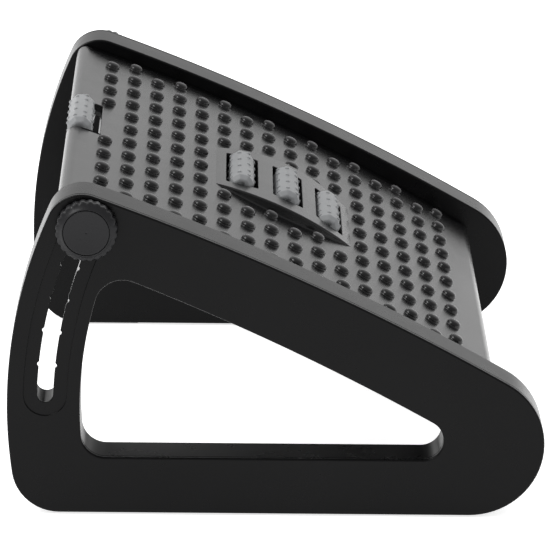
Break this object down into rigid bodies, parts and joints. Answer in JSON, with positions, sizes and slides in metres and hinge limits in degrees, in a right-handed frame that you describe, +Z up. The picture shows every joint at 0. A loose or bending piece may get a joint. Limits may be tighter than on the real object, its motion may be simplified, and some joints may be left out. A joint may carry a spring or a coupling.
{
  "type": "slant board",
  "caption": "Tilting foot platform with raised studs and free-turning massage rollers, clamped between two ring-shaped side frames with curved notched slots.",
  "frame": {"origin": "on the floor, under the middle of the board's overall box", "axes": "+X runs to the low front end where the platform is hinged, +Y across the board, +Z up"},
  "size_m": [0.3615, 0.4674, 0.2266],
  "materials": {
    "frame_plastic": "fine satin moulded black",
    "platform_plastic": "semi-gloss moulded black",
    "knob_plastic": "satin moulded black",
    "cap_plastic": "smooth satin black",
    "roller_plastic": "light grey, slightly rough",
    "pad_rubber": "matt black",
    "bush_nylon": "natural nylon",
    "zinc_steel": "bright zinc plated",
    "insert_brass": "plain brass"
  },
  "bodies": {
    "frame": {"side_shell_near": "frame_plastic", "side_shell_far": "frame_plastic", "side_cover_near": "frame_plastic", "side_cover_far": "frame_plastic", "foot_pad_rear_near": "pad_rubber", "foot_pad_front_near": "pad_rubber", "foot_pad_rear_far": "pad_rubber", "foot_pad_front_far": "pad_rubber", "pivot_rod": "zinc_steel", "pivot_nut_near": "zinc_steel", "pivot_nut_far": "zinc_steel"},
    "platform": {"foot_platform": "platform_plastic", "pivot_bush_near": "bush_nylon", "pivot_bush_far": "bush_nylon", "thread_insert_near": "insert_brass", "thread_insert_far": "insert_brass", "roller_axle_rear_pad": "zinc_steel", "roller_axle_mid_pad": "zinc_steel", "roller_axle_front_pad": "zinc_steel", "roller_axle_rear_edge": "zinc_steel"},
    "clamp_near": {"clamp_washer_near": "knob_plastic"},
    "clamp_far": {"clamp_washer_far": "knob_plastic"},
    "knob_near": {"clamp_knob_near": "knob_plastic", "knob_cap_near": "cap_plastic", "clamp_bolt_near": "zinc_steel"},
    "knob_far": {"clamp_knob_far": "knob_plastic", "knob_cap_far": "cap_plastic", "clamp_bolt_far": "zinc_steel"},
    "pad_roller_rear": {"roller_rear_pad": "roller_plastic"},
    "pad_roller_middle": {"roller_mid_pad": "roller_plastic"},
    "pad_roller_front": {"roller_front_pad": "roller_plastic"},
    "edge_roller": {"roller_rear_edge": "roller_plastic"}
  },
  "joints": [
    {"name": "platform_tilt", "type": "hinge", "parent": "frame", "child": "platform", "pos_m": [0.1402, 0, 0.0764], "axis": [0, 1, 0], "range_deg": [-23, 0]},
    {"name": "clamp_travel_near", "type": "slide", "parent": "platform", "child": "clamp_near", "axis": [0, -1, 0], "range_m": [0, 0.0025]},
    {"name": "knob_turn_near", "type": "hinge", "parent": "clamp_near", "child": "knob_near", "pos_m": [-0.12709, -0.228, 0.20217], "axis": [0, -1, 0], "range_deg": [0, 720]},
    {"name": "clamp_travel_far", "type": "slide", "parent": "platform", "child": "clamp_far", "axis": [0, 1, 0], "range_m": [0, 0.0025]},
    {"name": "knob_turn_far", "type": "hinge", "parent": "clamp_far", "child": "knob_far", "pos_m": [-0.12709, 0.228, 0.20217], "axis": [0, 1, 0], "range_deg": [0, 720]},
    {"name": "rear_pad_roller_spin", "type": "hinge", "parent": "platform", "child": "pad_roller_rear", "pos_m": [-0.02407, 0, 0.17601], "axis": [0, 1, 0], "continuous": true},
    {"name": "middle_pad_roller_spin", "type": "hinge", "parent": "platform", "child": "pad_roller_middle", "pos_m": [0.00791, 0, 0.1645], "axis": [0, 1, 0], "continuous": true},
    {"name": "front_pad_roller_spin", "type": "hinge", "parent": "platform", "child": "pad_roller_front", "pos_m": [0.0369, 0, 0.14675], "axis": [0, 1, 0], "continuous": true},
    {"name": "edge_roller_spin", "type": "hinge", "parent": "platform", "child": "edge_roller", "pos_m": [-0.13829, 0, 0.21716], "axis": [0, 1, 0], "continuous": true}
  ],
  "couplings": [
    {"joint": "knob_turn_near", "follows": "clamp_travel_near", "rad_per_m": 5026.5},
    {"joint": "knob_turn_far", "follows": "clamp_travel_far", "rad_per_m": 5026.5}
  ]
}
